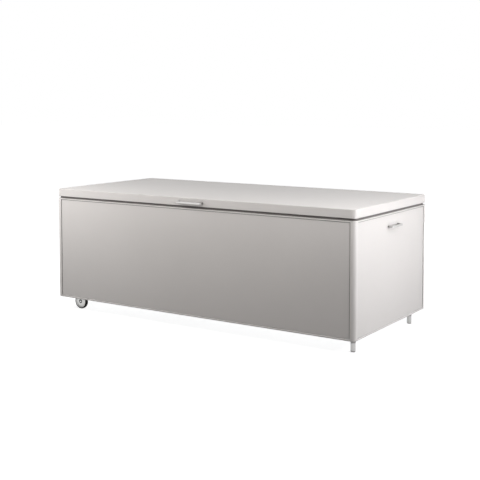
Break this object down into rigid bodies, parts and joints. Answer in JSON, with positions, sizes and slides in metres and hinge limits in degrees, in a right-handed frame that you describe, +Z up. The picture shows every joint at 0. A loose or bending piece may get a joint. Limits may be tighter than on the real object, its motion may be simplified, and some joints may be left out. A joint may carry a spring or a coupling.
{
  "type": "garden storage chest",
  "caption": "Long metal garden storage chest with a flush hinged lid on gas struts, bar handles, wheels under one end and legs under the other.",
  "frame": {"origin": "on the ground, under the middle of the whole part's box", "axes": "+X along the chest to the end with the handle and the legs, +Y from the front to the hinges, +Z up"},
  "size_m": [1.917, 0.8874, 0.694],
  "materials": {
    "body_paint": "satin powder coat, warm light grey",
    "lid_paint": "satin powder coat, warm light grey",
    "floor_aluminium": "mill finish sheet and tube",
    "zinc_steel": "zinc plated",
    "handle_steel": "satin stainless",
    "hinge_steel": "satin stainless",
    "axle_steel": "bright drawn bar",
    "rivet_aluminium": "plain",
    "seal_rubber": "matte",
    "tyre_rubber": "matte",
    "wheel_plastic": "moulded, light grey",
    "bush_plastic": "natural nylon",
    "retainer_plastic": "matte black",
    "foot_plastic": "moulded, light grey",
    "strut_paint": "satin black",
    "socket_plastic": "matte black",
    "rod_chrome": "ground and chromed"
  },
  "bodies": {
    "chest": {"corner_post_front_left": "body_paint", "corner_post_front_right": "body_paint", "corner_post_back_right": "body_paint", "corner_post_back_left": "body_paint", "rim_corner_blocks": "body_paint", "base_corner_blocks": "body_paint", "top_rail_front": "body_paint", "base_rail_front": "body_paint", "front_panel": "body_paint", "top_rail_back": "body_paint", "base_rail_back": "body_paint", "back_panel": "body_paint", "top_rail_left": "body_paint", "base_rail_left": "body_paint", "left_panel": "body_paint", "top_rail_right": "body_paint", "base_rail_right": "body_paint", "right_panel": "body_paint", "panel_ribs": "body_paint", "floor_sheet": "floor_aluminium", "floor_crossmembers": "floor_aluminium", "rim_seal": "seal_rubber", "end_handle": "handle_steel", "end_handle_plate": "floor_aluminium", "end_handle_screws": "handle_steel", "leg_front": "body_paint", "leg_back": "body_paint", "foot_caps": "foot_plastic", "wheel_axle": "axle_steel", "axle_retainers": "retainer_plastic", "wheel_bracket_front": "zinc_steel", "wheel_bracket_back": "zinc_steel", "underframe_bolts": "zinc_steel", "hinge_leaves_body": "hinge_steel", "hinge_pins": "hinge_steel", "hinge_screws_body": "hinge_steel", "strut_brackets_low": "zinc_steel"},
    "lid": {"lid_shell": "lid_paint", "lid_ribs": "lid_paint", "lid_liner": "floor_aluminium", "lid_rivets": "rivet_aluminium", "lid_handle": "handle_steel", "lid_handle_screws": "handle_steel", "hinge_leaves_lid": "hinge_steel", "hinge_screws_lid": "hinge_steel", "strut_brackets_high": "zinc_steel"},
    "left_strut_cylinder": {"left_strut_cylinder": "strut_paint", "left_strut_low_socket": "socket_plastic"},
    "left_strut_rod": {"left_strut_rod": "rod_chrome", "left_strut_high_socket": "socket_plastic"},
    "right_strut_cylinder": {"right_strut_cylinder": "strut_paint", "right_strut_low_socket": "socket_plastic"},
    "right_strut_rod": {"right_strut_rod": "rod_chrome", "right_strut_high_socket": "socket_plastic"},
    "front_wheel": {"front_wheel_tyre": "tyre_rubber", "front_wheel_disc": "wheel_plastic", "front_wheel_bush": "bush_plastic"},
    "back_wheel": {"back_wheel_tyre": "tyre_rubber", "back_wheel_disc": "wheel_plastic", "back_wheel_bush": "bush_plastic"}
  },
  "joints": [
    {"name": "lid_hinge", "type": "hinge", "parent": "chest", "child": "lid", "pos_m": [-0.0135, 0.43915, 0.645], "axis": [-1, 0, 0], "range_deg": [0, 75]},
    {"name": "left_strut_swing", "type": "hinge", "parent": "chest", "child": "left_strut_cylinder", "pos_m": [-0.9085, 0.27915, 0.395], "axis": [-1, 0, 0], "range_deg": [0, 9.32]},
    {"name": "left_strut_slide", "type": "slide", "parent": "left_strut_cylinder", "child": "left_strut_rod", "axis": [0, 0.1272, 0.9919], "range_m": [0, 0.15177]},
    {"name": "right_strut_swing", "type": "hinge", "parent": "chest", "child": "right_strut_cylinder", "pos_m": [0.8815, 0.27915, 0.395], "axis": [-1, 0, 0], "range_deg": [0, 9.32]},
    {"name": "right_strut_slide", "type": "slide", "parent": "right_strut_cylinder", "child": "right_strut_rod", "axis": [0, 0.1272, 0.9919], "range_m": [0, 0.15177]},
    {"name": "front_wheel_spin", "type": "hinge", "parent": "chest", "child": "front_wheel", "pos_m": [-0.8465, -0.35465, 0.0425], "axis": [0, 1, 0], "continuous": true},
    {"name": "back_wheel_spin", "type": "hinge", "parent": "chest", "child": "back_wheel", "pos_m": [-0.8465, 0.37335, 0.0425], "axis": [0, 1, 0], "continuous": true}
  ],
  "couplings": [
    {"joint": "left_strut_swing", "follows": "lid_hinge", "ratio": 0.12425},
    {"joint": "left_strut_slide", "follows": "lid_hinge", "m_per_rad": 0.1159},
    {"joint": "right_strut_swing", "follows": "lid_hinge", "ratio": 0.12425},
    {"joint": "right_strut_slide", "follows": "lid_hinge", "m_per_rad": 0.1159}
  ]
}
